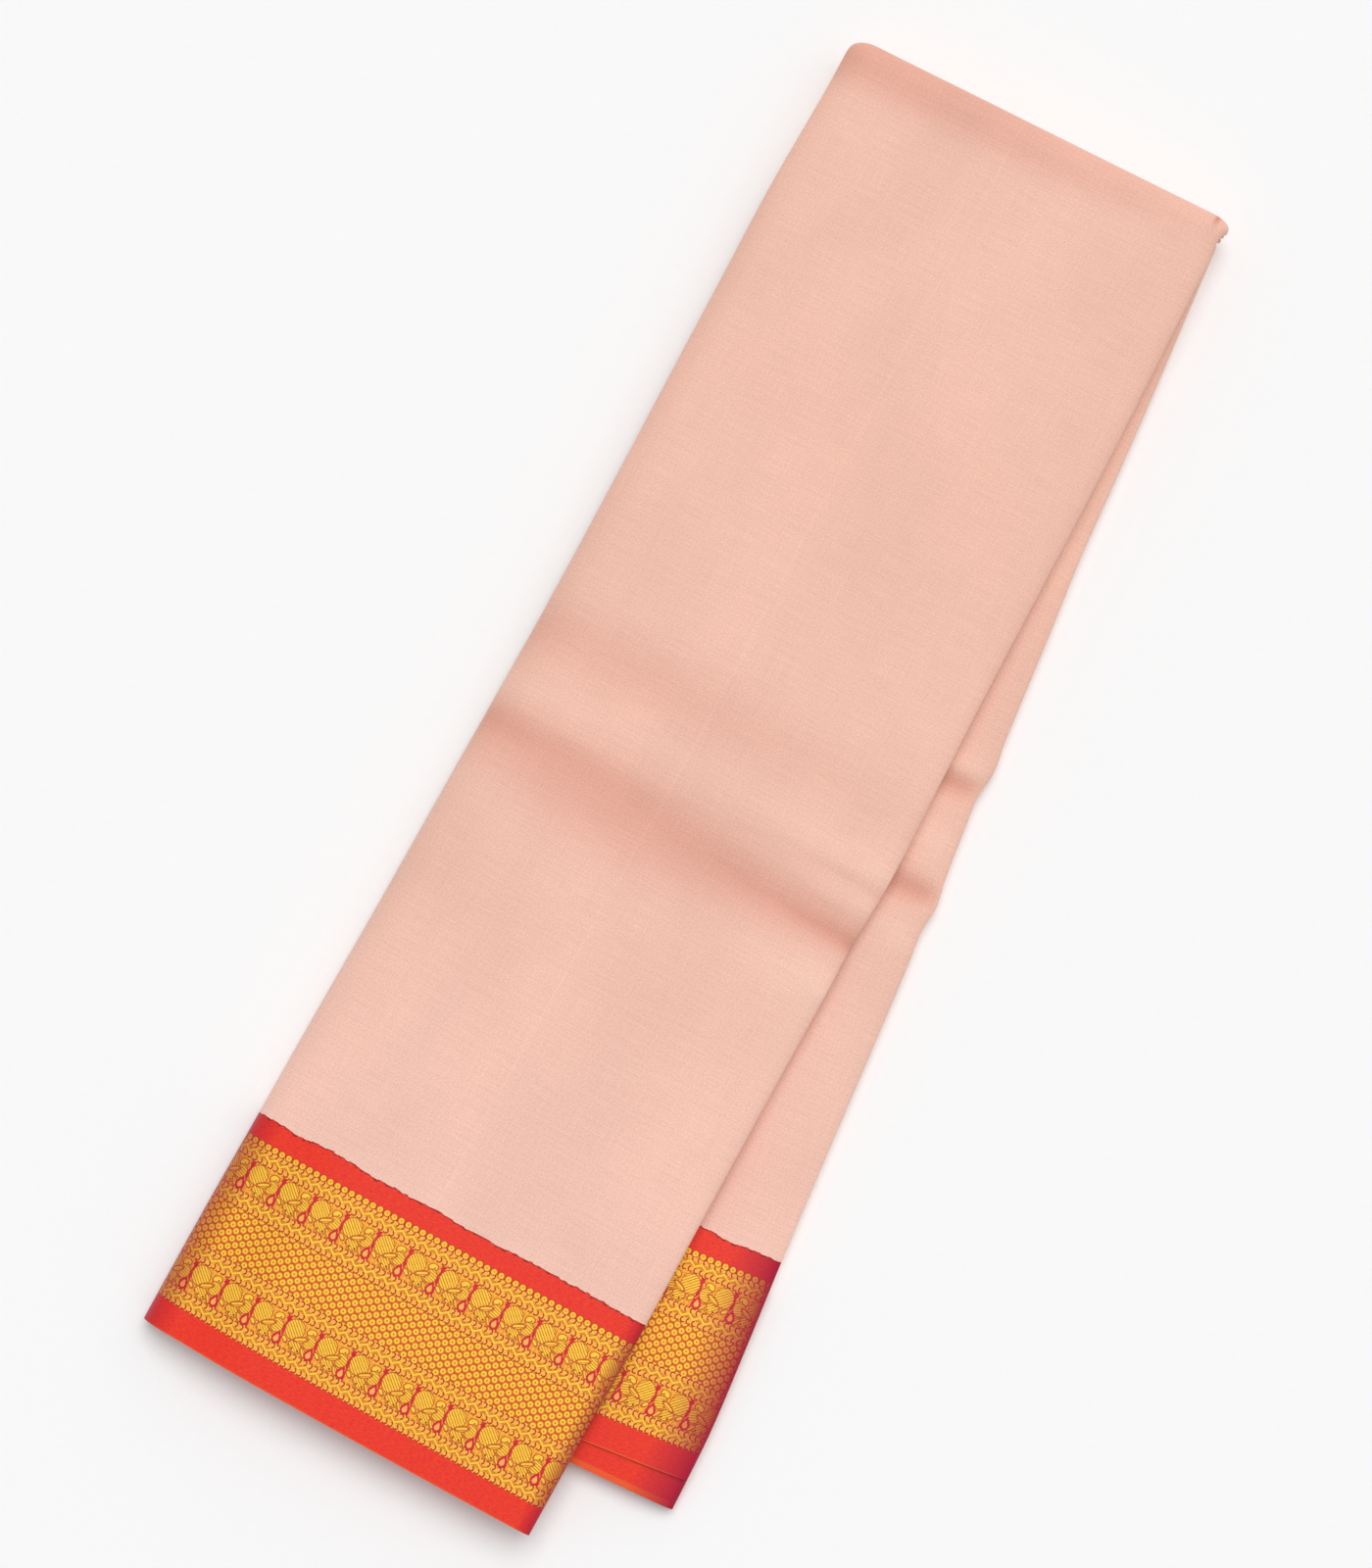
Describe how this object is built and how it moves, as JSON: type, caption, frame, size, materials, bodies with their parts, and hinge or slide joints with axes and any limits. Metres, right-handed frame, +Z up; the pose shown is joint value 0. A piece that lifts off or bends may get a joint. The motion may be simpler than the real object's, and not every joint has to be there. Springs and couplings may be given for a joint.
{
  "type": "folded silk saree",
  "caption": "Folded silk saree lying flat: a long stack of peach cloth turned over a top fold, its red and gold woven borders at both hems, the lower half fanned out.",
  "frame": {"origin": "centre of the bounding box in plan, on the surface the folded saree rests on", "axes": "+Y along the folded strip from the front hem to the top fold, +X to the fanned side, +Z up"},
  "size_m": [0.2204, 0.6054, 0.0212],
  "materials": {
    "peach_silk": "plain-woven silk, soft sheen",
    "zari_border": "gold zari brocade on red silk, satin",
    "red_silk": "plain-woven silk, soft sheen",
    "folded_layers": "stacked edges of folded silk"
  },
  "bodies": {
    "root": {"front_panel": "peach_silk", "front_border": "zari_border", "front_layers": "folded_layers", "back_panel": "peach_silk", "back_border": "zari_border", "back_lower_hem": "red_silk", "back_layers": "folded_layers", "under_panel": "peach_silk", "under_border": "zari_border"}
  },
  "joints": []
}
